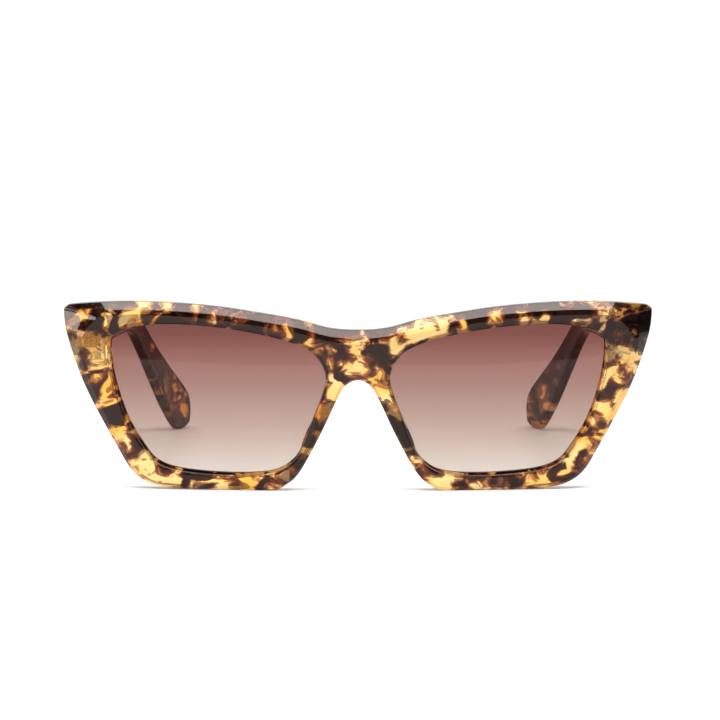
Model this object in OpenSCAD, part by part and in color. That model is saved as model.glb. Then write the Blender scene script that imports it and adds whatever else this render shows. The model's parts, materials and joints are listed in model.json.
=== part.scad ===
// Cat eye sunglasses: a solid acetate front with two tinted lenses, two acetate temples on
// three-barrel screw hinges, and a metal core wire inside each temple.
// The glasses stand as they are put down on a table: temples open, resting on both rims and
// both temple tips. The front looks along -Y, +Z is up, +X is the wearer's left.

/* [Front] */
// Wrap radius of the front, seen from above
wrap_r = 340; // [300:5:420]
// Thickness of the acetate front
front_t = 4.6; // [4.2:0.1:5]
// Backward tilt of the lower rims
front_tilt = 8; // [7:0.5:9]
// Height left of the rim bottoms' rounding where they are ground flat
land_depth = 0.4; // [0.3:0.05:0.5]

/* [Lenses] */
// Radius of the lens's front surface
lens_r = 150; // [130:5:200]
// Thickness of a lens
lens_t = 2.0; // [1.8:0.1:2.2]
// How far the lens edge reaches into the rim groove
groove_depth = 0.7; // [0.5:0.1:0.9]
// Play of the lens in its groove
groove_play = 0.05; // [0.03:0.01:0.08]

/* [Temples] */
// Distance from the hinge pin to the back of a temple tip
temple_reach = 133; // [130:1:136]
// Distance from the hinge pin to where the temple starts to turn inward
inward_start = 85; // [75:1:90]
// Radius of the inward turn, seen from above
inward_r = 88; // [80:1:110]
// Temple thickness at the hinge
temple_t_front = 4.0; // [3.8:0.1:4.2]
// Temple thickness from the ear bend to the tip
temple_t_back = 3.0; // [2.8:0.1:3.2]

/* [Hinges] */
// Distance of each hinge pin from the middle of the glasses
hinge_x = 65; // [64.5:0.5:65.5]
// Height of the middle of the hinge above the table
hinge_z = 37.6; // [37:0.2:38]
// Diameter of the hinge barrels
barrel_d = 2.8; // [2.6:0.1:2.9]
// Diameter of the hinge screw
screw_d = 1.4; // [1.2:0.1:1.5]
// Radial running clearance of the screw in the temple's barrel
screw_play = 0.03; // [0.02:0.01:0.05]

/* [Hidden] */

LEFT = 1;
RIGHT = -1;
round_fn = 48;
wrap_fn = 540;
lens_fn = 240;
curve_steps = 5;      // straight pieces between two outline points
far = 60;             // long enough to cut right through the front

// Outline of one half of the front, from the bridge's top round to the nose arch
front_half = [
    [0, 39.5], [6.9, 40.0], [14.1, 41.9], [22, 43.3], [33.5, 44.9], [46, 45.7], [58, 45.6],
    [68.6, 44.7], [70.8, 44.0], [71.4, 42.4], [70.4, 36.2], [66.2, 24.2], [58.5, 9.3],
    [55.2, 4.0], [51.8, 1.5], [47.2, 0.3], [38, 0], [28, 0], [21, 0], [17.6, 1.5],
    [14.2, 4.7], [9.3, 13.7], [4.4, 24.2], [2.4, 26.8]];
arch_top = [0, 27.7];

// Outline of the eye opening on the +X side, from its inner top round clockwise
eye_points = [
    [10.4, 34.0], [15.4, 36.7], [22.9, 38.7], [33, 40.3], [45.1, 40.9], [54.5, 39.9],
    [58.9, 37.7], [59.9, 34.4], [59.2, 27], [56.4, 17.6], [52.6, 10.6], [49.2, 6.5],
    [44.1, 4.6], [35.1, 3.8], [26.5, 3.8], [20.3, 4.6], [16.6, 6.6], [13.9, 10],
    [10.9, 17.6], [8.3, 24.6], [7.8, 29.4]];
eye_mid = [33.9, 22.3];
lens_sink = 0.2;      // the lens's middle lies this far behind the front's face

// End pieces: the thick corners that carry the hinges
end_in = 61.3;        // their inner side, just outside the eye opening
end_low = 31;         // their lower side at the hinge seat
end_high = 43.4;      // their upper side, hidden behind the brow
seat_y = 7.4;         // the upright face on which a hinge and a temple's end bear
seat_gap = 0.15;      // between that face and the temple's end

// Hinge sizes
hinge_y = seat_y + 1.7;
plate_w = 5.3;
plate_h = 4.8;
plate_t = 0.8;
rib_n = 5;
rib_t = 0.3;
rib_deep = 0.7;
barrel_h = 1.9;
barrel_gap = 0.05;
web_t = 1.6;
leaf_len = 12;
leaf_h = 4.4;
leaf_t = 0.9;
leaf_start = 1.6;
head_d = 2.2;
head_h = 0.5;
slot_w = 0.35;
slot_deep = 0.3;

// Temple outline seen from the side, as [distance behind the pin, height above the table]
butt_a = -1.7 + seat_gap;
temple_high = 42.4;
temple_low = 32.9;
temple_side = [
    [0, temple_high], [22, 42.2], [50, 41.7], [76, 41.5], [88, 40.9], [98, 38.2],
    [temple_reach - 25, 31.6], [temple_reach - 15.6, 24.2], [temple_reach - 6.4, 16.6],
    [temple_reach - 0.5, 9.4], [temple_reach - 0.5, 2.8], [temple_reach - 3.6, -0.05],
    [temple_reach - 7.6, 0.8], [temple_reach - 13.6, 7.4], [temple_reach - 22.4, 17.8],
    [temple_reach - 32, 27.2], [92, 32.7], [82, 34], [50, 33.6], [22, 33.1], [0, temple_low]];
temple_in = 1.6;      // the temple's inner face stands this far outside the pin

// Core wire inside the temple
wire_t = 1.2;
wire_h = 2.2;
wire_from = 16;
wire_to = 120;
wire_path = [
    [0, 37.6], [30, 37.7], [60, 37.7], [82, 37.5], [94, 36.0], [104, 29.8], [113, 20.6],
    [121, 11], [127, 4]];

// Nose pads
pad_len = 16;
pad_w = 3.6;
pad_back = 4.4;
pad_splay = 22;
pad_mid = [8.9, 14.8];
pad_lean = 26.7;

// The whole object's middle in depth, so that the origin is under its middle
brow_ahead = 5.25;    // the brow leans this far ahead of the lower rims
depth_mid = (hinge_y + temple_reach - brow_ahead) / 2;

// ---- curves ----

// One point of a smooth curve between b and c; a and d are their neighbours
function curve_point(a, b, c, d, t) =
    0.5 * (2 * b + (c - a) * t + (2 * a - 5 * b + 4 * c - d) * t * t
           + (3 * b - a - 3 * c + d) * t * t * t);

// A smooth closed curve through the given points
function closed_curve(p, steps = curve_steps) =
    let (n = len(p))
    [for (i = [0 : n - 1], k = [0 : steps - 1])
        curve_point(p[(i + n - 1) % n], p[i], p[(i + 1) % n], p[(i + 2) % n], k / steps)];

// A smooth open curve through the given points
function open_curve(p, steps = curve_steps) =
    let (n = len(p))
    concat([for (i = [0 : n - 2], k = [0 : steps - 1])
        curve_point(p[max(i - 1, 0)], p[i], p[i + 1], p[min(i + 2, n - 1)], k / steps)],
        [p[n - 1]]);

function mirrored(p) = [for (i = [len(p) - 1 : -1 : 0]) [-p[i].x, p[i].y]];

// Half of the front's outline, its mirror image and the nose arch, as one closed curve
front_points = concat(front_half, [arch_top],
                      [for (q = mirrored(front_half)) if (q.x < 0) q]);

// How far inward the temple has turned at a distance behind the pin
function inward(a) = a > inward_start ? pow(a - inward_start, 2) / (2 * inward_r) : 0;

// Temple thickness at a distance behind the pin
function temple_t(a) =
    let (k = min(max(a / inward_start, 0), 1))
    temple_t_front + (temple_t_back - temple_t_front) * k;

// Middle of the temple's thickness, measured outward from the pin
function temple_mid(a) = temple_in + temple_t_front / 2 - inward(a);

// A band that follows the temple as seen from above, between two distances behind the pin
function plan_band(from, to, half) =
    let (n = 24, steps = [for (i = [0 : n]) from + (to - from) * i / n])
    concat([for (a = steps) [temple_mid(a) + half(a), a]],
           [for (i = [n : -1 : 0]) [temple_mid(steps[i]) - half(steps[i]), steps[i]]]);

// A band of even width along a path, as seen from the side
function side_band(p, half) =
    let (c = open_curve(p, 4), n = len(c))
    let (dir = [for (i = [0 : n - 1]) c[min(i + 1, n - 1)] - c[max(i - 1, 0)]])
    let (nor = [for (d = dir) [-d.y, d.x] / norm(d) * half])
    concat([for (i = [0 : n - 1]) c[i] + nor[i]],
           [for (i = [n - 1 : -1 : 0]) c[i] - nor[i]]);

// ---- placing ----

// Puts a shape drawn in the upright front onto the tilted one
module on_front()
    translate([0, -depth_mid, -land_depth])
        rotate([front_tilt, 0, 0])
            children();

// Puts a shape drawn round the pin onto its hinge; the -X side is the mirror image
module at_hinge(side)
    translate([0, -depth_mid, 0])
        mirror([side == RIGHT ? 1 : 0, 0, 0])
            translate([hinge_x, hinge_y, 0])
                children();

// Draws an outline given as [across, up] and gives it depth along Y
module upright(depth)
    rotate([90, 0, 0])
        linear_extrude(depth, center = true)
            children();

// The middle of one lens on the wrapped front, looking straight out of it
module at_eye(side)
    translate([0, wrap_r, 0])
        rotate([0, 0, side * asin(eye_mid.x / wrap_r)])
            translate([0, -wrap_r, eye_mid.y])
                children();

// ---- front ----

module eye_outline(side, grow = 0)
    mirror([side == RIGHT ? 1 : 0, 0, 0])
        offset(delta = grow)
            polygon(closed_curve(eye_points));

// A curved sheet between two concentric spheres, where a lens lies
module lens_sheet(side, spare = 0)
    at_eye(side)
        translate([0, lens_sink + lens_r, 0])
            difference() {
                sphere(r = lens_r + spare, $fn = lens_fn);
                sphere(r = lens_r - lens_t - spare, $fn = lens_fn);
            }

module wrap_cylinder(r)
    translate([0, wrap_r, -far])
        cylinder(r = r, h = 3 * far, $fn = wrap_fn);

// The wrapped plate and the two end pieces, which reach back to the hinge seats
module front_blank() {
    intersection() {
        on_front() upright(far) polygon(closed_curve(front_points));
        on_front() difference() {
            wrap_cylinder(wrap_r);
            wrap_cylinder(wrap_r - front_t);
        }
    }
    for (side = [LEFT, RIGHT])
        intersection() {
            on_front() upright(far) polygon(closed_curve(front_points));
            on_front() wrap_cylinder(wrap_r - 1);
            mirror([side == RIGHT ? 1 : 0, 0, 0])
                translate([end_in, -depth_mid - far, end_low])
                    cube([far, far + seat_y, end_high - end_low]);
        }
}

// The space behind a hinge seat, which is cut upright
module behind_seat(side)
    mirror([side == RIGHT ? 1 : 0, 0, 0])
        translate([end_in, seat_y - depth_mid, end_low])
            cube([far, far, far]);

module front_frame()
    color("#e2a54a")
        difference() {
            front_blank();
            for (side = [LEFT, RIGHT]) {
                on_front() upright(far) eye_outline(side);
                on_front() intersection() {
                    upright(far) eye_outline(side, groove_depth + groove_play);
                    lens_sheet(side, groove_play);
                }
                behind_seat(side);
                at_hinge(side) hinge_plate();
            }
            translate([-2 * far, -depth_mid - far, -far])
                cube([4 * far, 2 * far, far]);
        }

module lens(side)
    color("#a8756a", 0.6)
        on_front() intersection() {
            upright(far) eye_outline(side, groove_depth);
            lens_sheet(side);
        }

module left_lens() lens(LEFT);
module right_lens() lens(RIGHT);

// A built-up pad glued behind the nose edge; its face turns outward towards the back
module nose_pad(side)
    color("#8a5526")
        on_front() intersection() {
            mirror([side == RIGHT ? 1 : 0, 0, 0])
                translate([pad_mid.x, front_t, pad_mid.y])
                    rotate([0, -pad_lean, 0])
                        rotate([0, 0, -pad_splay])
                            translate([pad_w / 2, 0, 0])
                                upright(2 * pad_back)
                                    pad_outline();
            wrap_cylinder(wrap_r - front_t);
        }

module pad_outline()
    hull()
        for (end = [-1, 1])
            translate([0, end * (pad_len - pad_w) / 2])
                circle(d = pad_w, $fn = round_fn);

module left_nose_pad() nose_pad(LEFT);
module right_nose_pad() nose_pad(RIGHT);

// ---- hinges ----

// The plate sunk in the end piece, with the ribs that hold it in the acetate
module hinge_plate() {
    translate([-plate_w / 2, seat_y - hinge_y - plate_t, hinge_z - plate_h / 2])
        cube([plate_w, plate_t, plate_h]);
    for (i = [0 : rib_n - 1])
        translate([-plate_w / 2 + i * (plate_w - rib_t) / (rib_n - 1),
                   seat_y - hinge_y - plate_t - rib_deep, hinge_z - plate_h / 2])
            cube([rib_t, rib_deep, plate_h]);
}

// One barrel, with its middle at a height above or below the hinge's middle
module barrel(dz, h)
    translate([0, 0, hinge_z + dz - h / 2])
        cylinder(d = barrel_d, h = h, $fn = round_fn);

module pin_hole(d)
    translate([0, 0, hinge_z - far])
        cylinder(d = d, h = 2 * far, $fn = round_fn);

module front_hinge_leaf(side)
    color("#c9a24b")
        at_hinge(side) {
            hinge_plate();
            for (up = [-1, 1])
                difference() {
                    union() {
                        barrel(up * barrel_h, barrel_h - barrel_gap);
                        translate([-web_t / 2, seat_y - hinge_y,
                                   hinge_z + up * barrel_h - (barrel_h - barrel_gap) / 2])
                            cube([web_t, hinge_y - seat_y, barrel_h - barrel_gap]);
                    }
                    pin_hole(screw_d);
                }
        }

module temple_hinge_leaf(side)
    color("#c9a24b")
        at_hinge(side) {
            difference() {
                union() {
                    barrel(0, barrel_h - barrel_gap);
                    translate([0, -web_t / 2, hinge_z - (barrel_h - barrel_gap) / 2])
                        cube([temple_in + leaf_t / 2, leaf_start + web_t,
                              barrel_h - barrel_gap]);
                }
                pin_hole(screw_d + 2 * screw_play);
            }
            leaf_plate();
        }

// The plate let into the temple's inner face
module leaf_plate()
    translate([temple_in, butt_a + 0.4, hinge_z - leaf_h / 2])
        cube([leaf_t, leaf_len, leaf_h]);

module hinge_screw(side)
    color("#b9bcc0")
        at_hinge(side)
            difference() {
                union() {
                    translate([0, 0, hinge_z - 1.5 * barrel_h])
                        cylinder(d = screw_d, h = 3 * barrel_h, $fn = round_fn);
                    translate([0, 0, hinge_z + 1.5 * barrel_h])
                        cylinder(d = head_d, h = head_h, $fn = round_fn);
                }
                translate([-head_d, -slot_w / 2,
                           hinge_z + 1.5 * barrel_h + head_h - slot_deep])
                    cube([2 * head_d, slot_w, head_h]);
            }

module left_front_hinge_leaf() front_hinge_leaf(LEFT);
module right_front_hinge_leaf() front_hinge_leaf(RIGHT);
module left_hinge_screw() hinge_screw(LEFT);
module right_hinge_screw() hinge_screw(RIGHT);
module left_temple_hinge_leaf() temple_hinge_leaf(LEFT);
module right_temple_hinge_leaf() temple_hinge_leaf(RIGHT);

// ---- temples ----

// Draws an outline given as [behind the pin, up] and gives it width along X
module sideways(width)
    rotate([90, 0, 90])
        linear_extrude(width, center = true)
            children();

module wire_blank()
    intersection() {
        sideways(far) polygon(side_band(wire_path, wire_h / 2));
        linear_extrude(far)
            polygon(plan_band(wire_from, wire_to, function (a) wire_t / 2));
    }

module temple(side)
    color("#5a3420")
        at_hinge(side)
            difference() {
                intersection() {
                    sideways(far)
                        polygon(concat([[butt_a, temple_high]], open_curve(temple_side),
                                       [[butt_a, temple_low]]));
                    linear_extrude(far)
                        polygon(plan_band(butt_a, temple_reach,
                                          function (a) temple_t(a) / 2));
                }
                leaf_plate();
                wire_blank();
            }

module core_wire(side)
    color("#b9bcc0")
        at_hinge(side)
            wire_blank();

module left_temple() temple(LEFT);
module right_temple() temple(RIGHT);
module left_core_wire() core_wire(LEFT);
module right_core_wire() core_wire(RIGHT);

front_frame();
left_lens();
right_lens();
left_nose_pad();
right_nose_pad();
left_front_hinge_leaf();
right_front_hinge_leaf();
left_hinge_screw();
right_hinge_screw();
left_temple_hinge_leaf();
right_temple_hinge_leaf();
left_temple();
right_temple();
left_core_wire();
right_core_wire();
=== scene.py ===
import json
import math

import bmesh
import bpy
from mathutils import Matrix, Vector


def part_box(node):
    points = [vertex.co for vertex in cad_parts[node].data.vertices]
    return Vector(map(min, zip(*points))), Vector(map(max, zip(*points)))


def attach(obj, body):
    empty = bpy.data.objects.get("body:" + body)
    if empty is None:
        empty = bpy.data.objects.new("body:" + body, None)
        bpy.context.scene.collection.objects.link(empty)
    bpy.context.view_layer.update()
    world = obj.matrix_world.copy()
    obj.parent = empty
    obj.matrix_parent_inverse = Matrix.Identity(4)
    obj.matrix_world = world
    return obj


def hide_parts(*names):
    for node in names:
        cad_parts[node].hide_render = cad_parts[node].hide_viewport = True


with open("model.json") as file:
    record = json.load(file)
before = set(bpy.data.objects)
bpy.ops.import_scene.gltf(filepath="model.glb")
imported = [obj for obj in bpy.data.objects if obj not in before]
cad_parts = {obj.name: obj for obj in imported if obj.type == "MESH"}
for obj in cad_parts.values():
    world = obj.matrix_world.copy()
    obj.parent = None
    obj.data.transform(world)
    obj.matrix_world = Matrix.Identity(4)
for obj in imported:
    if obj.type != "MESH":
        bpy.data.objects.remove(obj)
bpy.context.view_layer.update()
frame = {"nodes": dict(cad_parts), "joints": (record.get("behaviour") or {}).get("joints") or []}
mm = 0.001
sides = {"left": 1, "right": -1}  # the wearer's left is +X
print("frame loaded")

camera = {
    "distance": 0.400,  # from the front of the rims
    "height": 0.060,
    "lookHeight": 0.0322,
    "aside": 0.0005,
    "focalLength": 84.4,
}
studio = {
    "floorColour": (0.93, 0.93, 0.93, 1),
    "floorRoughness": 0.6,
    "floorLeft": -1.2,
    "floorRight": 1.2,
    "floorFront": -0.20,  # the table ends in front of the object, and the room beyond is dim
    "floorBack": 1.3,
    "roomFront": 0.12,  # brightness of the dim room in front, and of the lit backdrop behind
    "roomBack": 1.05,
    "roomTurn": (-0.5, 0.5),  # the room goes from dim to lit between these directions along Y
    "roomSeen": 1.16,  # brightness of the backdrop where it is looked at, which is that of the paper
    "paperGlow": 0.08,
    "farGlow": 0.25,  # the paper is lit from below too, more so further away
    "farGlowFrom": 0.15,
    "overheadPlace": (0, -0.24, 0.82),
    "overheadSize": (0.9, 0.5),
    "overheadPower": 11.6,
    "sidePlace": (-0.375, -0.231, 0.033),
    "sideSize": (0.16, 0.062),
    "sidePower": 0.34,
    "lightAim": (0, -0.05, 0.02),
}


def makeCamera():
    data = bpy.data.cameras.new("camera")
    data.lens = camera["focalLength"]
    data.sensor_width = 36
    data.clip_start = 0.01
    data.clip_end = 20
    eye = bpy.data.objects.new("camera", data)
    bpy.context.scene.collection.objects.link(eye)
    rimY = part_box("front_frame")[0].y
    eye.location = (camera["aside"], rimY - camera["distance"], camera["height"])
    look = Vector((camera["aside"], rimY, camera["lookHeight"])) - eye.location
    eye.rotation_euler = look.to_track_quat("-Z", "Y").to_euler()
    bpy.context.scene.camera = eye


def makeLight(name):
    data = bpy.data.lights.new(name + "Box", "AREA")
    data.shape = "RECTANGLE"
    data.size, data.size_y = studio[name + "Size"]
    data.energy = studio[name + "Power"]
    lamp = bpy.data.objects.new(name + "Box", data)
    lamp.location = studio[name + "Place"]
    lamp.visible_camera = False
    aim = Vector(studio["lightAim"]) - lamp.location
    lamp.rotation_euler = aim.to_track_quat("-Z", "Y").to_euler()
    bpy.context.scene.collection.objects.link(lamp)


bpy.context.scene.view_settings.view_transform = "Standard"
makeCamera()
makeLight("overhead")
makeLight("side")
print("camera and lights ready")


class Value:
    # One output socket: sums and products of values add their Math nodes
    def __init__(self, tree, socket):
        self.tree = tree
        self.socket = socket

    def maths(self, operation, first, second):
        node = self.tree.nodes.new("ShaderNodeMath")
        node.operation = operation
        for slot, item in zip(node.inputs, (first, second)):
            if isinstance(item, Value):
                self.tree.links.new(item.socket, slot)
            else:
                slot.default_value = item
        return Value(self.tree, node.outputs[0])

    def __add__(self, other):
        return self.maths("ADD", self, other)

    def __sub__(self, other):
        return self.maths("SUBTRACT", self, other)

    def __mul__(self, other):
        return self.maths("MULTIPLY", self, other)

    def __pow__(self, other):
        return self.maths("POWER", self, other)

    def __rsub__(self, other):
        return self.maths("SUBTRACT", other, self)

    __radd__ = __add__
    __rmul__ = __mul__


class Finish:
    # The nodes of a material, or of the room
    def __init__(self, holder):
        self.holder = holder
        self.holder.use_nodes = True
        self.tree = self.holder.node_tree
        self.tree.nodes.clear()

    def node(self, kind, settings, inputs, output=0):
        made = self.tree.nodes.new("ShaderNode" + kind)
        for key, value in settings.items():
            setattr(made, key, value)
        for key, value in inputs.items():
            if isinstance(value, Value):
                self.tree.links.new(value.socket, made.inputs[key])
            else:
                made.inputs[key].default_value = value
        return Value(self.tree, made.outputs[output]) if made.outputs else made

    def mix(self, share, first, second):
        # input 0 is the factor, 6 and 7 are the two colours, output 2 the colour
        return self.node("Mix", {"data_type": "RGBA"}, {0: share, 6: first, 7: second}, 2)

    def ramp(self, value, low, high):
        # 0 below low, 1 above high, smooth in between
        sockets = {"Value": value, "From Min": low, "From Max": high}
        return self.node("MapRange", {"interpolation_type": "SMOOTHSTEP"}, sockets)

    def millimetres(self, shift=(0, 0, 0), turn=(0, 0, 0), scale=(1000,) * 3):
        place = self.node("TexCoord", {}, {}, "Object")
        sockets = {"Vector": place, "Location": shift, "Rotation": turn, "Scale": scale}
        return self.node("Mapping", {}, sockets)

    def noise(self, place, scale, detail, roughness=0.5, swirl=0):
        sockets = {"Vector": place, "Scale": scale, "Detail": detail, "Roughness": roughness}
        return self.node("TexNoise", {}, {**sockets, "Distortion": swirl})

    def axes(self, names):
        # object coordinates along the named axes, in metres
        place = self.node("TexCoord", {}, {}, "Object")
        return [self.node("SeparateXYZ", {}, {0: place}, name) for name in names]

    def finish(self, shader, end="OutputMaterial"):
        self.node(end, {}, {"Surface": shader})
        return self.holder


def newFinish(name):
    return Finish(bpy.data.materials.new(name))


def makeRoom():
    # what is looked at straight on is white paper; the rest of the room is brighter behind the object
    room = Finish(bpy.data.worlds.new("room"))
    behind = room.node("SeparateXYZ", {}, {0: room.node("TexCoord", {}, {}, "Generated")}, "Y")
    rise = studio["roomBack"] - studio["roomFront"]
    level = studio["roomFront"] + rise * room.ramp(behind, *studio["roomTurn"])
    seen = room.node("LightPath", {}, {}, "Is Camera Ray")
    strength = level + (studio["roomSeen"] - level) * seen
    light = room.node("Background", {}, {"Color": (1, 1, 1, 1), "Strength": strength})
    bpy.context.scene.world = room.finish(light, "OutputWorld")


def makePaper():
    paper = newFinish("paper")
    across, behind = paper.axes("XY")
    away = (across * across + behind * behind) ** 0.5
    glow = paper.ramp(away, studio["farGlowFrom"], studio["floorBack"])
    levels = (studio["paperGlow"], studio["paperGlow"] + studio["farGlow"])
    near, far = ((level, level, level, 1) for level in levels)
    sockets = {
        "Base Color": studio["floorColour"],
        "Roughness": studio["floorRoughness"],
        "Emission Color": paper.mix(glow, near, far),
        "Emission Strength": 1.0,
    }
    return paper.finish(paper.node("BsdfPrincipled", {}, sockets))


def makeFloor():
    bm = bmesh.new()
    bmesh.ops.create_grid(bm, x_segments=1, y_segments=1, size=1)
    for vertex in bm.verts:
        vertex.co.x = studio["floorRight"] if vertex.co.x > 0 else studio["floorLeft"]
        vertex.co.y = studio["floorBack"] if vertex.co.y > 0 else studio["floorFront"]
    mesh = bpy.data.meshes.new("floor")
    bm.to_mesh(mesh)
    bm.free()
    floor = bpy.data.objects.new("floor", mesh)
    bpy.context.scene.collection.objects.link(floor)
    mesh.materials.append(makePaper())


makeRoom()
makeFloor()
print("room and floor ready")

tortoise = {
    "paleAmber": (0.97, 0.67, 0.26, 1),
    "deepAmber": (1.0, 0.50, 0.075, 1),
    "redBrown": (0.22, 0.045, 0.012, 1),
    "darkBrown": (0.013, 0.004, 0.0028, 1),
    "gloss": (0.62, 0.50, 0.45, 1),
    "ior": 1.49,
    "transmission": 0.85,
    "roughness": (0.03, 0.05),  # of the polish, and what the duller spots add
    "patchScale": 0.22,  # patches to the millimetre
    "throughFront": (850, 150, 1150),  # to millimetres, with patches that run through the sheet
    "throughTemple": (180, 800, 1000),
    "turn": (0.7, 0.5, 0.3),
    "swirl": 0.9,
    "detail": 4.0,
    "redFrom": (-0.025, 0.015),  # how far about the level the red-brown and the dark brown come in
    "darkFrom": (0.015, 0.08),
    "amberScale": 0.09,
    "amberFrom": (0.38, 0.66),
    "dullScale": 0.9,
    "dullFrom": (0.45, 0.75),
    "frontLevel": 0.486,  # the noise level above which the sheet is dark
    "padLevel": 0.46,
    "templeLevel": 0.37,
    "templeTipLevel": 0.455,
    "tipFrom": (0.045, 0.066),  # places are in metres
    "browDarker": 0.06,
    "browFrom": (0.034, 0.041),
    "bridgeDarker": 0.05,
    "bridgeWithin": (0.005, 0.014),
    "bridgeFrom": (0.029, 0.035),
    "endClearer": 0.06,  # where the hinge plates show through
    "endBeyond": (0.056, 0.059),
    "endFrom": (0.029, 0.032),
    "endUpTo": (0.035, 0.039),
}


def makeAcetate(name, level, shift, stretch, levelChange=None):
    skin = newFinish(name)
    place = skin.millimetres(shift, tortoise["turn"], tortoise[stretch])
    patches = skin.noise(place, tortoise["patchScale"], tortoise["detail"], swirl=tortoise["swirl"])
    if levelChange:
        patches = patches + levelChange(skin)
    tone = skin.ramp(skin.noise(place, tortoise["amberScale"], 1.0), *tortoise["amberFrom"])
    red, dark = (
        skin.ramp(patches, level + low, level + high)
        for low, high in (tortoise["redFrom"], tortoise["darkFrom"])
    )
    colour = skin.mix(tone, tortoise["paleAmber"], tortoise["deepAmber"])
    colour = skin.mix(red, colour, tortoise["redBrown"])
    colour = skin.mix(dark, colour, tortoise["darkBrown"])
    dull = skin.ramp(skin.noise(place, tortoise["dullScale"], 3.0), *tortoise["dullFrom"])
    polished, added = tortoise["roughness"]
    sockets = {
        "Base Color": colour,
        "Roughness": polished + added * dull,
        "IOR": tortoise["ior"],
        "Specular Tint": tortoise["gloss"],
        "Transmission Weight": tortoise["transmission"],
    }
    return skin.finish(skin.node("BsdfPrincipled", {}, sockets))


def frontPattern(skin):
    # the sheet is darker along the brow and bridge, and clearer over the hinges
    across, height = skin.axes("XZ")
    squared = across * across

    def beyond(limits):
        return skin.ramp(squared, *(limit**2 for limit in limits))

    brow = skin.ramp(height, *tortoise["browFrom"])
    bridge = (1 - beyond(tortoise["bridgeWithin"])) * skin.ramp(height, *tortoise["bridgeFrom"])
    ends = beyond(tortoise["endBeyond"]) * skin.ramp(height, *tortoise["endFrom"])
    ends = ends * (1 - skin.ramp(height, *tortoise["endUpTo"]))
    darker = tortoise["browDarker"] * brow + tortoise["bridgeDarker"] * bridge
    return darker - tortoise["endClearer"] * ends


def templePattern(skin):
    # a temple is cut so that its tip comes from a lighter part of the sheet
    (behind,) = skin.axes("Y")
    change = tortoise["templeLevel"] - tortoise["templeTipLevel"]
    return change * skin.ramp(behind, *tortoise["tipFrom"])


metals = {  # colour, colour of the worn spots, roughness, spots to the millimetre
    "hingeGold": ((0.80, 0.56, 0.22, 1), (0.62, 0.40, 0.14, 1), 0.2, 2.2),
    "screwSteel": ((0.62, 0.62, 0.63, 1), (0.45, 0.45, 0.46, 1), 0.22, 3.0),
    "coreSteel": ((0.58, 0.57, 0.54, 1), (0.44, 0.43, 0.40, 1), 0.3, 1.4),
}
wear = {"spotFrom": (0.35, 0.7), "rougher": 0.16, "bumpStrength": 0.15, "bumpHeight": 0.00003}


def makeMetal(name):
    colour, worn, roughness, grain = metals[name]
    skin = newFinish(name)
    spots = skin.noise(skin.millimetres(), grain, 4.0, 0.6)
    bump = {"Strength": wear["bumpStrength"], "Distance": wear["bumpHeight"], "Height": spots}
    sockets = {
        "Base Color": skin.mix(skin.ramp(spots, *wear["spotFrom"]), colour, worn),
        "Metallic": 1.0,
        "Roughness": roughness + wear["rougher"] * spots,
        "Normal": skin.node("Bump", {}, bump),
    }
    return skin.finish(skin.node("BsdfPrincipled", {}, sockets))


tint = {
    "gloss": (0.3, 0.3, 0.3, 1),
    "glossRoughness": 0.01,
    "glossShare": 0.04,  # seen straight on; it rises to all of the light at a grazing angle
    "stops": [  # height, and the colour of a white sheet seen through the lens
        (0.002, (0.530, 0.456, 0.411)),
        (0.005, (0.495, 0.424, 0.380)),
        (0.0114, (0.421, 0.333, 0.278)),
        (0.0163, (0.372, 0.262, 0.222)),
        (0.0212, (0.337, 0.219, 0.183)),
        (0.0261, (0.307, 0.173, 0.144)),
        (0.031, (0.303, 0.146, 0.123)),
        (0.0335, (0.292, 0.134, 0.115)),
        (0.036, (0.252, 0.106, 0.089)),
        (0.0385, (0.227, 0.086, 0.072)),
    ],
}


def makeTint(name):
    # what is behind is seen through both faces, so each face has the square root of the colour
    skin = newFinish(name)
    (height,) = skin.axes("Z")
    bands = [
        skin.node("BsdfTransparent", {}, {"Color": (*(c**0.5 for c in colour), 1)})
        for _, colour in tint["stops"]
    ]
    clear = bands[0]
    for (low, _), (high, _), band in zip(tint["stops"], tint["stops"][1:], bands[1:]):
        share = skin.node("MapRange", {}, {"Value": height, "From Min": low, "From Max": high})
        clear = skin.node("MixShader", {}, {0: share, 1: clear, 2: band})
    glossy = {"Color": tint["gloss"], "Roughness": tint["glossRoughness"]}
    gloss = skin.node("BsdfGlossy", {}, glossy)
    facing = skin.node("LayerWeight", {}, {"Blend": 0.5}, "Facing")
    share = tint["glossShare"] + (1 - tint["glossShare"]) * facing**5
    return skin.finish(skin.node("MixShader", {}, {0: share, 1: clear, 2: gloss}))


frontAcetate = makeAcetate(
    "frontAcetate", tortoise["frontLevel"], (91.0, 17.0, 5.0), "throughFront", frontPattern
)
padAcetate = makeAcetate("padAcetate", tortoise["padLevel"], (3.0, 9.0, 2.0), "throughFront")
templeAcetate = makeAcetate(
    "templeAcetate", tortoise["templeLevel"], (31.0, 5.0, 17.0), "throughTemple", templePattern
)
hingeGold, screwSteel, coreSteel = (makeMetal(name) for name in metals)
lensTint = makeTint("lensTint")
print("materials made")


def curvePoint(a, b, c, d, t):
    return tuple(
        0.5 * (2 * q + (r - p) * t + (2 * p - 5 * q + 4 * r - s) * t * t + (3 * q - p - 3 * r + s) * t**3)
        for p, q, r, s in zip(a, b, c, d)
    )


def closedCurve(points, steps):
    n = len(points)
    return [
        curvePoint(points[i - 1], points[i], points[(i + 1) % n], points[(i + 2) % n], k / steps)
        for i in range(n)
        for k in range(steps)
    ]


def openCurve(points, steps):
    last = len(points) - 1
    found = [
        curvePoint(points[max(i - 1, 0)], points[i], points[i + 1], points[min(i + 2, last)], k / steps)
        for i in range(last)
        for k in range(steps)
    ]
    return found + [points[last]]


def bothHalves(half, middle):
    # half an outline, its middle point and its mirror image
    return half + [middle] + [(-p[0], *p[1:]) for p in reversed(half) if p[0] > 0]


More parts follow.
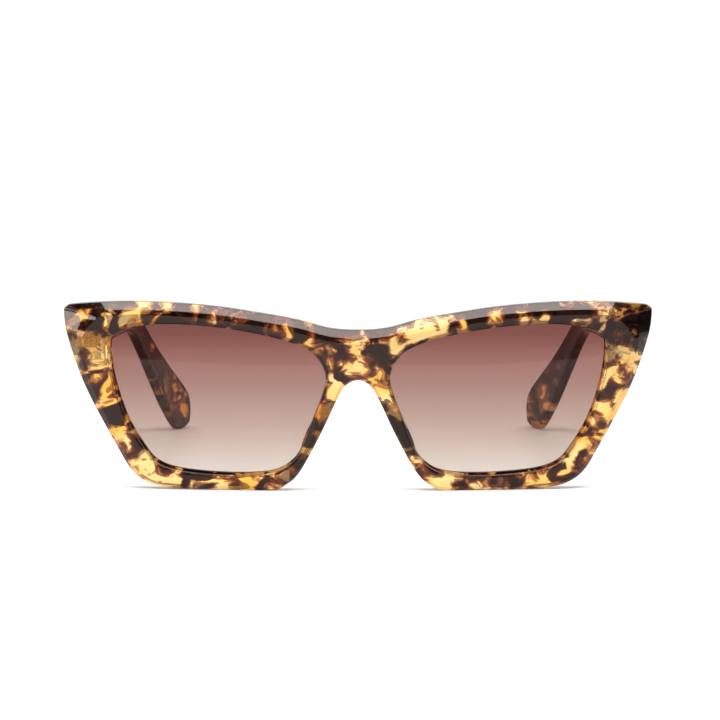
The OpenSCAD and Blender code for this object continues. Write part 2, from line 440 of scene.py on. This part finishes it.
def smooth(value, low, high):
    t = min(max((value - low) / (high - low), 0), 1)
    return t * t * (3 - 2 * t)


def normals(outline):
    # sideways direction at each point of a closed outline, to the left of its run
    found = []
    for i in range(len(outline)):
        before, after = outline[i - 1], outline[(i + 1) % len(outline)]
        run = Vector((after[0] - before[0], after[1] - before[1])).normalized()
        found.append(Vector((-run.y, run.x)))
    return found


def firstRing(bm, places):
    ring = bmesh.ops.create_circle(bm, segments=len(places), radius=1)["verts"]
    for vertex, place in zip(ring, places):
        vertex.co = place
    return ring


def ringEdges(bm, ring):
    return [bm.edges.get((ring[i - 1], ring[i])) for i in range(len(ring))]


rounding = {
    "shortest": 1e-9,
    "furthest": 0.48,  # share of an edge that one rounding may take
    "narrowWeight": 0.0001,  # how much a narrow face counts in the directions at its corners
    "mergeWithin": 0.000002,
    "cadMergeWithin": 0.000001,
}


def roundedMarks(bm):
    return bm.faces.layers.int.get("rounded") or bm.faces.layers.int.new("rounded")


def nextRing(bm, ring, places, narrow=False):
    marks = roundedMarks(bm)
    grown = bmesh.ops.extrude_edge_only(bm, edges=ringEdges(bm, ring))
    fresh = {g for g in grown["geom"] if isinstance(g, bmesh.types.BMVert)}
    follow = [next(e.other_vert(v) for e in v.link_edges if e.other_vert(v) in fresh) for v in ring]
    for vertex, place in zip(follow, places):
        vertex.co = place
    for face in [g for g in grown["geom"] if isinstance(g, bmesh.types.BMFace)]:
        face[marks] = int(narrow)
    return follow


def towards(start, end, length):
    # never as far as halfway, so that two roundings on one edge stay apart
    start, end = Vector(start), Vector(end)
    away = end - start
    return start + away * min(length / max(away.length, rounding["shortest"]), rounding["furthest"])


def roundedWall(bm, corners, radii):
    # rings along a profile; every corner but the first and last is rounded in three narrow strips
    first = ring = firstRing(bm, corners[0])
    for before, corner, after, radius in zip(corners, corners[1:], corners[2:], radii):
        starts = [towards(c, b, radius) for c, b in zip(corner, before)]
        ends = [towards(c, a, radius) for c, a in zip(corner, after)]
        ring = nextRing(bm, ring, starts)
        for t in (1 / 3, 2 / 3, 1):
            places = [
                p * (1 - t) ** 2 + Vector(c) * 2 * t * (1 - t) + q * t * t
                for p, c, q in zip(starts, corner, ends)
            ]
            ring = nextRing(bm, ring, places, narrow=True)
    return first, nextRing(bm, ring, corners[-1])


def closeRing(bm, ring):
    bmesh.ops.contextual_create(bm, geom=ringEdges(bm, ring))


def roundSharpEdges(bm, angle, width):
    # the new narrow faces are marked, and take their directions from their neighbours later
    marks = roundedMarks(bm)
    sharp = [e for e in bm.edges if e.is_manifold and e.calc_face_angle(0) > math.radians(angle)]
    made = bmesh.ops.bevel(
        bm, geom=sharp, affect="EDGES", offset=width, segments=2, profile=0.5, material=-1,
        clamp_overlap=True,
    )
    for face in made["faces"]:
        face[marks] = 1


def weighNormals(mesh):
    sums = [Vector((0, 0, 0)) for _ in mesh.vertices]
    marks = mesh.attributes.get("rounded")
    for face in mesh.polygons:
        narrow = marks and marks.data[face.index].value
        weight = face.area * (rounding["narrowWeight"] if narrow else 1)
        for index in face.vertices:
            sums[index] += face.normal * weight
    if marks:
        mesh.attributes.remove(marks)
    mesh.shade_smooth()
    mesh.normals_split_custom_set_from_vertices([s.normalized() for s in sums])


def settleOrder(elements, place):
    # the operators leave their results in no fixed order, and merging depends on it
    order = {element: k for k, element in enumerate(sorted(elements, key=place))}
    elements.sort(key=lambda element: order[element])


def makePiece(name, bm, material, body, slot, *nodes):
    settleOrder(bm.verts, lambda vertex: tuple(vertex.co))
    bmesh.ops.remove_doubles(bm, verts=bm.verts, dist=rounding["mergeWithin"])
    settleOrder(bm.faces, lambda face: tuple(face.calc_center_median()))
    bmesh.ops.recalc_face_normals(bm, faces=bm.faces)
    mesh = bpy.data.meshes.new(name)
    bm.to_mesh(mesh)
    bm.free()
    weighNormals(mesh)
    mesh.materials.append(material)
    piece = bpy.data.objects.new(name, mesh)
    bpy.context.scene.collection.objects.link(piece)
    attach(piece, body)
    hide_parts(*nodes)


front = {  # millimetres, in the upright front: x across, depth back from its face, z up
    "wrapRadius": 340,
    "tilt": 8,
    "thickness": 4.6,
    "hingeBehind": 9.1,
    "landDepth": 0.4,
    "steps": 12,
    "outline": [
        (0, 39.5), (6.9, 40.0), (14.1, 41.9), (22, 43.3), (33.5, 44.9), (46, 45.7), (58, 45.6),
        (68.6, 44.7), (70.8, 44.0), (71.4, 42.4), (70.4, 36.2), (66.2, 24.2), (58.5, 9.3),
        (55.2, 4.0), (51.8, 1.5), (47.2, 0.3), (38, 0), (28, 0), (21, 0), (17.6, 1.5),
        (14.2, 4.7), (9.3, 13.7), (4.4, 24.2), (2.4, 26.8),
    ],
    "archTop": (0, 27.7),
    # where the face turns into the bevel that runs round it, and how far back the bevel goes
    "crease": [
        (0, 36.9, 2.6), (6.7, 37.4, 2.6), (13.8, 39.3, 2.6), (21.8, 40.7, 2.6), (33.4, 42.3, 2.6),
        (46, 43.1, 2.6), (57.0, 43.0, 2.6), (62.5, 42.3, 2.6), (62.9, 42.0, 2.6), (63.1, 41.6, 2.6),
        (66.4, 36.2, 1.8), (63.4, 24.9, 1.2), (56.8, 10.2, 1.0), (53.8, 5.0, 0.9), (51.2, 2.7, 0.9),
        (47, 1.4, 0.9), (38, 1.0, 0.9), (28, 1.0, 0.9), (21.4, 1.0, 0.9), (18.3, 2.3, 0.9),
        (15.0, 5.3, 0.8), (10.1, 14.1, 0.7), (5.1, 24.7, 0.7), (2.9, 27.5, 0.7),
    ],
    "archCrease": (0, 28.5, 0.7),
    "creaseShare": 0.4,  # the bevel is steeper in its outer part
    "creaseRise": 0.17,
    "flatRise": 0.40,  # but the wide facet at each upper corner is flat
    "flatWidth": (3.2, 6.0),
    "edgeRound": 0.12,
    "eye": [
        (10.4, 34.0), (15.4, 36.7), (22.9, 38.7), (33, 40.3), (45.1, 40.9), (54.5, 39.9),
        (58.9, 37.7), (59.9, 34.4), (59.2, 27), (56.4, 17.6), (52.6, 10.6), (49.2, 6.5),
        (44.1, 4.6), (35.1, 3.8), (26.5, 3.8), (20.3, 4.6), (16.6, 6.6), (13.9, 10),
        (10.9, 17.6), (8.3, 24.6), (7.8, 29.4),
    ],
    "eyeMiddle": (33.9, 22.3),
    "lip": (0.4, 0.35),  # width and depth of the slope down to the lens
    "backRound": 0.6,
    "eyeRound": 0.4,
    "endIn": 61.0,  # the end pieces reach back to the upright hinge seats
    "endLow": 30.2,
    "endHigh": 42.4,
    "endBlend": 1.2,
    "seatBehind": 7.36,
    "faceMargin": 0.3,  # the flat face starts this far inside its edges
    "grooveRound": 0.03,
    "cutEvery": 2.4,  # the flat faces are cut this often to follow the wrap
    "cutsEachWay": 29,
}
lens = {
    "radius": 150,
    "thickness": 2.0,
    "sink": 0.2,
    "groove": 0.7,
    "play": 0.05,
    "rings": 14,
    "edgePlay": 0.02,
    "edgeRound": 0.15,
    "sharpAngle": 40,
}

hingePlace = {j["child"]: Vector(j["pos_m"]) for j in frame["joints"]}
frontShift = hingePlace["left_arm"].y / mm - front["hingeBehind"]
tiltSin = math.sin(math.radians(front["tilt"]))
tiltCos = math.cos(math.radians(front["tilt"]))


def toWorld(x, y, z):
    # from the upright front to the tilted one, in metres
    back = y * tiltCos - z * tiltSin + frontShift
    up = y * tiltSin + z * tiltCos - front["landDepth"]
    return Vector((x, back, up)) * mm


def wrapBack(x, depth):
    # how far back a point of the wrapped sheet lies
    return front["wrapRadius"] - math.sqrt((front["wrapRadius"] - depth) ** 2 - x * x)


def lensBack(side, x, z, radius):
    # how far back a point of a lens face lies: it is part of a ball behind the wrapped sheet
    turn = math.asin(front["eyeMiddle"][0] / front["wrapRadius"])
    reach = front["wrapRadius"] - lens["sink"] - lens["radius"]
    ballX = side * reach * math.sin(turn)
    ballY = front["wrapRadius"] - reach * math.cos(turn)
    ballZ = front["eyeMiddle"][1]
    return ballY - math.sqrt(radius**2 - (x - ballX) ** 2 - (z - ballZ) ** 2)


def lensDepth(side, x, z, radius):
    behind = front["wrapRadius"] - lensBack(side, x, z, radius)
    return front["wrapRadius"] - math.hypot(behind, x)


def endRise(x, z):
    # how much further back the back of the front lies at an end piece
    half = front["endBlend"] / 2

    def past(value, edge):
        return smooth(value, edge - half, edge + half)

    seat = (front["seatBehind"] + z * tiltSin) / tiltCos
    share = past(abs(x), front["endIn"]) * past(z, front["endLow"]) * (1 - past(z, front["endHigh"]))
    return share * (seat - wrapBack(x, front["thickness"]))


def eyeOutline(side):
    points = closedCurve(front["eye"], front["steps"])
    return [(side * x, z) for x, z in points]


def shifted(outline, amount):
    # an outline moved sideways, to the left of its run when the amount is positive
    return [(p[0] + n.x * amount, p[1] + n.y * amount) for p, n in zip(outline, normals(outline))]


def eyeWall(bm, side):
    # the inside of one eye opening, from the face to the back; returns its first and last ring
    outline = eyeOutline(side)
    wide, deep = front["lip"]
    back = front["thickness"]
    outer = lens["radius"] + lens["play"]
    inner = lens["radius"] - lens["thickness"] - lens["play"]
    groove = shifted(outline, side * (lens["groove"] + lens["play"]))

    def level(points, depth):
        return [(x, depth, z) for x, z in points]

    def bowl(points, radius):
        return [(x, lensDepth(side, x, z, radius), z) for x, z in points]

    corners = [
        level(shifted(outline, side * (wide + front["faceMargin"])), 0),
        level(shifted(outline, side * wide), 0),
        level(outline, deep),
        bowl(outline, outer),
        bowl(groove, outer),
        bowl(groove, inner),
        bowl(outline, inner),
        level(outline, back),
        level(shifted(outline, side * 2 * front["eyeRound"]), back),
    ]
    radii = [front["edgeRound"]] * 2 + [front["grooveRound"]] * 4 + [front["eyeRound"]]
    return roundedWall(bm, corners, radii)


def outerWall(bm):
    # the bevel round the face, the edge of the sheet and its rounded back edge
    outline = closedCurve(bothHalves(front["outline"], front["archTop"]), front["steps"])
    crease = closedCurve(bothHalves(front["crease"], front["archCrease"]), front["steps"])
    share = front["creaseShare"]

    def riseOf(width):
        flat = smooth(width, *front["flatWidth"])
        return front["creaseRise"] + (front["flatRise"] - front["creaseRise"]) * flat

    inside = shifted([(x, z) for x, z, _ in crease], -front["faceMargin"])
    back = front["thickness"]
    corners = [
        [(x, 0, z) for x, z in inside],
        [(x, 0, z) for x, z, _ in crease],
        [
            (cx + (x - cx) * share, depth * riseOf(math.hypot(x - cx, z - cz)), cz + (z - cz) * share)
            for (x, z), (cx, cz, depth) in zip(outline, crease)
        ],
        [(x, c[2], z) for (x, z), c in zip(outline, crease)],
        [(x, back, z) for x, z in outline],
        [(x, back, z) for x, z in shifted(outline, -2 * front["backRound"])],
    ]
    return roundedWall(bm, corners, [front["edgeRound"]] * 3 + [front["backRound"]])


def cutFaces(bm, faces, places, across):
    # cuts across flat faces, so that they can bend with the wrap
    for place in places:
        parts = dict.fromkeys(part for f in faces for part in (*f.verts, *f.edges, f))
        cut = bmesh.ops.bisect_plane(
            bm, geom=list(parts), dist=1e-6, plane_co=[place * a for a in across], plane_no=across
        )
        faces = [g for g in cut["geom"] if isinstance(g, bmesh.types.BMFace)]


def fillBetween(bm, rings):
    edges = [e for ring in rings for e in ringEdges(bm, ring)]
    made = bmesh.ops.triangle_fill(bm, use_beauty=True, edges=edges)
    return [g for g in made["geom"] if isinstance(g, bmesh.types.BMFace)]


def cutOff(bm, place, direction, within):
    # takes off what lies behind a plane and closes the cut
    everything = list(bm.verts) + list(bm.edges) + list(bm.faces)
    cut = bmesh.ops.bisect_plane(
        bm, geom=everything, dist=within, plane_co=place, plane_no=direction, clear_inner=True
    )
    rim = [g for g in cut["geom_cut"] if isinstance(g, bmesh.types.BMEdge)]
    bmesh.ops.triangle_fill(bm, use_beauty=True, edges=rim)


def makeFront():
    bm = bmesh.new()
    walls = [outerWall(bm), eyeWall(bm, sides["left"]), eyeWall(bm, sides["right"])]
    face = fillBetween(bm, [w[0] for w in walls])
    cuts = range(-front["cutsEachWay"], front["cutsEachWay"] + 1)
    across = [front["cutEvery"] * k for k in cuts]
    cutFaces(bm, face, across, (1, 0, 0))
    back = fillBetween(bm, [w[1] for w in walls])
    half = front["endBlend"] / 2
    steps = [half * k / 2 for k in (-2, -1, 0, 1, 2)]
    inner = [s * (front["endIn"] + k) for s in (-1, 1) for k in steps]
    cutFaces(bm, back, across + inner, (1, 0, 0))
    ends = []
    for flat in bm.faces:
        middle = flat.calc_center_median()
        if middle.y > front["thickness"] - 0.01 and abs(middle.x) > front["endIn"] - 1:
            ends.append(flat)
    cutFaces(bm, ends, [h + k for h in (front["endLow"], front["endHigh"]) for k in steps], (0, 0, 1))
    for vertex in bm.verts:
        x, depth, z = vertex.co
        y = wrapBack(x, depth)
        if depth > front["thickness"] - front["backRound"] - 0.01:  # the back and its rounded edge
            y += endRise(x, z)
        vertex.co = toWorld(x, y, z)
    cutOff(bm, (0, 0, 0), (0, 0, 1), 1e-7)
    makePiece("acetateFront", bm, frontAcetate, "front", "acetate", "front_frame")


makeFront()
print("front made")


def makeLens(word, side):
    outline = shifted(eyeOutline(side), side * (lens["groove"] - lens["edgePlay"]))
    midX, midZ = side * front["eyeMiddle"][0], front["eyeMiddle"][1]
    shares = [(k + 1) / lens["rings"] for k in range(lens["rings"])]
    bm = bmesh.new()

    def places(share, radius):
        found = []
        for x, z in outline:
            px, pz = midX + (x - midX) * share, midZ + (z - midZ) * share
            found.append(toWorld(px, lensBack(side, px, pz, radius), pz))
        return found

    ring = firstRing(bm, places(shares[0], lens["radius"]))
    closeRing(bm, ring)
    for share in shares[1:]:
        ring = nextRing(bm, ring, places(share, lens["radius"]))
    for share in reversed(shares):
        ring = nextRing(bm, ring, places(share, lens["radius"] - lens["thickness"]))
    closeRing(bm, ring)
    bmesh.ops.recalc_face_normals(bm, faces=bm.faces)
    roundSharpEdges(bm, lens["sharpAngle"], lens["edgeRound"] * mm)
    makePiece(word + "LensDisc", bm, lensTint, "front", "lens", word + "_lens")


for word, side in sides.items():
    makeLens(word, side)
print("lenses made")

pad = {
    "length": 16,
    "width": 2.6,
    "back": 3.4,
    "splay": 14,
    "lean": 26.7,
    "middle": (8.9, 14.8),
    "fullness": 0.82,  # 1 is an ellipsoid, less is fuller
    "cutAside": 3,  # the pad is cut flat where the rim's back lies this far outward of its middle
    "cutBehind": 0.02,
}


def makePad(word, side):
    bm = bmesh.new()
    bmesh.ops.create_uvsphere(bm, u_segments=40, v_segments=28, radius=1)
    splay, lean = math.radians(pad["splay"]), math.radians(pad["lean"])
    for vertex in bm.verts:
        x, y, z = (math.copysign(abs(c) ** pad["fullness"], c) for c in vertex.co)
        x, y, z = (x + 1) * pad["width"] / 2, y * pad["back"], z * pad["length"] / 2
        x, y = x * math.cos(splay) + y * math.sin(splay), y * math.cos(splay) - x * math.sin(splay)
        x, z = x * math.cos(lean) - z * math.sin(lean), z * math.cos(lean) + x * math.sin(lean)
        vertex.co = (x + pad["middle"][0], y + front["thickness"], z + pad["middle"][1])
    behind = wrapBack(pad["middle"][0] + pad["cutAside"], front["thickness"]) + pad["cutBehind"]
    cutOff(bm, (0, behind, 0), (0, 1, 0), 1e-6)
    for vertex in bm.verts:
        vertex.co = toWorld(side * vertex.co.x, vertex.co.y, vertex.co.z)
    makePiece(word + "PadBead", bm, padAcetate, "front", "pad_acetate", word + "_nose_pad")


for word, side in sides.items():
    makePad(word, side)
print("nose pads made")

temple = {  # millimetres: distance behind the hinge pin, and height
    "top": [
        (-1.55, 42.4), (22, 42.2), (50, 41.7), (76, 41.5), (88, 40.9), (98, 38.2), (108, 31.6),
        (117.4, 24.2), (126.6, 16.6), (131.4, 11.6), (132.6, 7.6), (132.9, 5.6), (132.95, 4.4),
    ],
    "under": [
        (-1.55, 32.9), (22, 33.1), (50, 33.6), (78, 34), (91, 32.9), (101, 27.2), (110.6, 17.8),
        (119.4, 7.4), (125.6, 0.8), (129.1, 0.2), (131.8, 1.5), (132.6, 2.9), (132.85, 3.8),
    ],
    "fullness": [1, 1, 1, 1, 1, 1, 1, 1, 1, 0.96, 0.8, 0.55, 0.2],
    "frontThickness": 4.0,
    "backThickness": 3.0,
    "inwardStart": 85,
    "inwardRadius": 88,
    "insideOfPin": 1.6,
    "taper": 0.9,  # the outer face draws in towards the front, over the first stretch
    "taperStart": -2,
    "taperEnd": 14,
    "innerGap": 0.05,
    "edgeRound": 0.25,
    "sharpAngle": 60,
    "steps": 9,
    "around": 56,
    "squareness": 5.5,
}


def templeMiddle(a):
    turned = max(a - temple["inwardStart"], 0) ** 2 / (2 * temple["inwardRadius"])
    return temple["insideOfPin"] + temple["frontThickness"] / 2 - turned


def templeThickness(a):
    share = min(max(a / temple["inwardStart"], 0), 1)
    return temple["frontThickness"] + (temple["backThickness"] - temple["frontThickness"]) * share


def templeRing(station, pin, side):
    topA, topZ, lowA, lowZ, fullness = station
    found = []
    for k in range(temple["around"]):
        turn = 2 * math.pi * k / temple["around"]
        circle = (math.cos(turn), math.sin(turn))
        out, up = (math.copysign(abs(c) ** (2 / temple["squareness"]), c) for c in circle)
        a = (topA + lowA) / 2 + up * (topA - lowA) / 2
        z = (topZ + lowZ) / 2 + up * (topZ - lowZ) / 2
        half = templeThickness(a) / 2 * fullness
        drawn = temple["taper"] * (1 - smooth(a, temple["taperStart"], temple["taperEnd"]))
        x = templeMiddle(a) + out * (half - (drawn if out > 0 else temple["innerGap"]))
        found.append((side * (abs(pin.x) + x * mm), pin.y + a * mm, z * mm))
    return found


def makeTemple(word, side):
    pin = hingePlace[word + "_arm"]
    rows = [(*t, *u, f) for t, u, f in zip(temple["top"], temple["under"], temple["fullness"])]
    stations = openCurve(rows, temple["steps"])
    bm = bmesh.new()
    ring = firstRing(bm, templeRing(stations[0], pin, side))
    closeRing(bm, ring)
    for station in stations[1:]:
        ring = nextRing(bm, ring, templeRing(station, pin, side))
    closeRing(bm, ring)
    bmesh.ops.recalc_face_normals(bm, faces=bm.faces)
    roundSharpEdges(bm, temple["sharpAngle"], temple["edgeRound"] * mm)
    makePiece(word + "TempleArm", bm, templeAcetate, word + "_arm", "temple_acetate", word + "_temple")


for word, side in sides.items():
    makeTemple(word, side)
print("temples made")

screw = {"shaftWithin": 0.75, "shaftShare": 0.92}
metalEdges = {"flatAngle": 1, "sharpAngle": 35}
metalPieces = [  # name ending, CAD node ending, material, body, slot, width of the rounded edges
    ("SeatLeaf", "front_hinge_leaf", hingeGold, "front", "hinge_metal", 0.08),
    ("ArmLeaf", "temple_hinge_leaf", hingeGold, "arm", "hinge_metal", 0.08),
    ("PinScrew", "hinge_screw", screwSteel, "front", "screw_steel", 0.05),
    ("SpineWire", "core_wire", coreSteel, "arm", "core_metal", 0.2),
]


def thinShaft(bm):
    # leaves room round the shaft for the barrel that turns on it
    middle = Vector([(min(row) + max(row)) / 2 for row in zip(*(v.co.xy for v in bm.verts))])
    for vertex in bm.verts:
        out = vertex.co.xy - middle
        if out.length < screw["shaftWithin"] * mm:
            vertex.co.xy = middle + out * screw["shaftShare"]


def makeMetalPiece(word, ending, node, material, body, slot, width):
    bm = bmesh.new()
    bm.from_mesh(frame["nodes"][word + "_" + node].data)
    bmesh.ops.remove_doubles(bm, verts=bm.verts, dist=rounding["cadMergeWithin"])
    flat = math.radians(metalEdges["flatAngle"])
    bmesh.ops.dissolve_limit(bm, angle_limit=flat, verts=bm.verts, edges=bm.edges)
    if ending == "PinScrew":
        thinShaft(bm)
    roundSharpEdges(bm, metalEdges["sharpAngle"], width * mm)
    if body == "arm":
        body = word + "_arm"
    makePiece(word + ending, bm, material, body, slot, word + "_" + node)


for word in sides:
    for row in metalPieces:
        makeMetalPiece(word, *row)
print("hinges, screws and core wires made")
